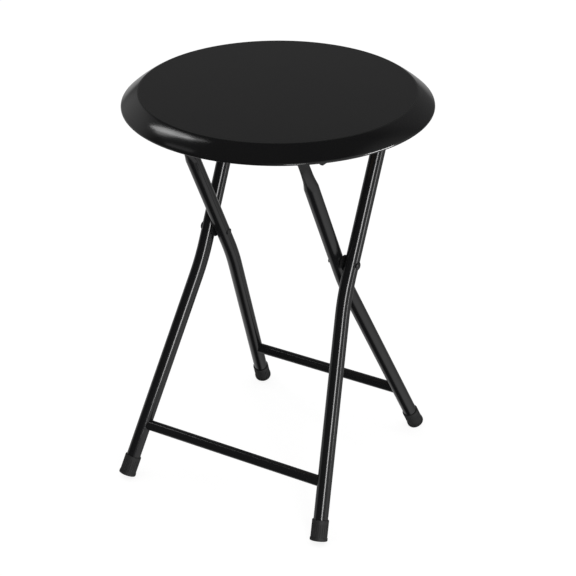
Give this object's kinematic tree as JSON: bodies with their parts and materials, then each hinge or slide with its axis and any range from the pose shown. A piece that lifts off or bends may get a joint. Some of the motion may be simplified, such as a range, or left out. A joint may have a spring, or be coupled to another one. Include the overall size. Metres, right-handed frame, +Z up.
{
  "type": "folding stool",
  "caption": "Folding stool with a round padded seat on crossed frames of bent steel tube that close like scissors while the seat swings up on its hinge.",
  "frame": {"origin": "on the floor, under the middle of the round seat", "axes": "+Z up; X along the scissor pivot, +X the sitter's right when looking along +Y; -Y is the side where the seat is hinged"},
  "size_m": [0.329, 0.329, 0.457],
  "materials": {
    "black_paint": "gloss black baked enamel on steel tube",
    "rivet_paint": "gloss black on domed steel rivets",
    "foot_rubber": "matte moulded black rubber",
    "black_nylon": "matte moulded black nylon",
    "seat_vinyl": "smooth black vinyl, semi-gloss",
    "seat_foam": "open-cell foam",
    "seat_plywood": "raw plywood",
    "zinc_steel": "bright zinc plate"
  },
  "bodies": {
    "outer_frame": {"outer_tube": "black_paint", "outer_crossbar": "black_paint", "outer_foot_cap_left": "foot_rubber", "outer_foot_cap_right": "foot_rubber", "pivot_rivet_left": "rivet_paint", "pivot_rivet_right": "rivet_paint", "pivot_spacer_left": "black_nylon", "pivot_spacer_right": "black_nylon"},
    "inner_frame": {"inner_leg_left": "black_paint", "inner_leg_right": "black_paint", "inner_crossbar": "black_paint", "inner_foot_cap_left": "foot_rubber", "inner_foot_cap_right": "foot_rubber"},
    "seat": {"seat_cover": "seat_vinyl", "seat_foam": "seat_foam", "seat_board": "seat_plywood", "seat_staples": "zinc_steel", "hinge_bracket_left": "black_paint", "hinge_bracket_right": "black_paint", "bracket_screws": "zinc_steel", "hinge_rivet_left": "rivet_paint", "hinge_rivet_right": "rivet_paint", "hinge_washer_left": "black_nylon", "hinge_washer_right": "black_nylon", "rest_hook_left": "black_nylon", "rest_hook_right": "black_nylon", "hook_screws": "zinc_steel"}
  },
  "joints": [
    {"name": "leg_fold", "type": "hinge", "parent": "outer_frame", "child": "inner_frame", "pos_m": [0, 0.001, 0.272], "axis": [-1, 0, 0], "range_deg": [0, 45]},
    {"name": "seat_flip", "type": "hinge", "parent": "inner_frame", "child": "seat", "pos_m": [0, -0.07556, 0.4197], "axis": [1, 0, 0], "range_deg": [0, 117]}
  ],
  "couplings": [
    {"joint": "seat_flip", "follows": "leg_fold", "ratio": 2.6}
  ]
}
